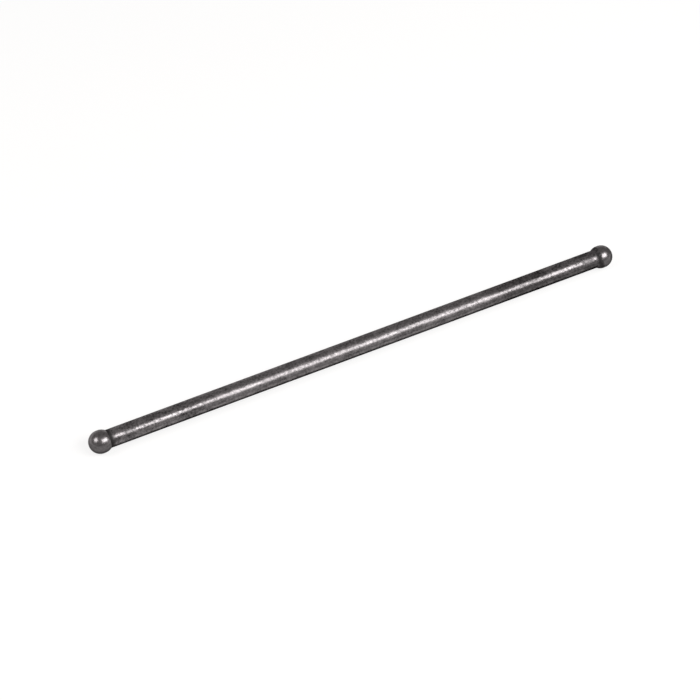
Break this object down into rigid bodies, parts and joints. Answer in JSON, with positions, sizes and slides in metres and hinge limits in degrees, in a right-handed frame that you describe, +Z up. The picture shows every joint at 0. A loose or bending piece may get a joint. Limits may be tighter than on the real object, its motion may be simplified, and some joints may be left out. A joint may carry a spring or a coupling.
{
  "type": "engine pushrod",
  "caption": "Straight solid steel engine pushrod with a ball headed on each end, which carries the lift of a tappet up to a rocker arm.",
  "frame": {"origin": "on the rod's own axis, midway between the two ball tips", "axes": "+X along the rod, from the tappet ball to the rocker ball; +Z up as the rod lies"},
  "size_m": [0.2, 0.008, 0.008],
  "materials": {
    "steel": "bare dark steel, ground along its length, with heat-darkened ends"
  },
  "bodies": {
    "root": {"pushrod": "steel"}
  },
  "joints": []
}
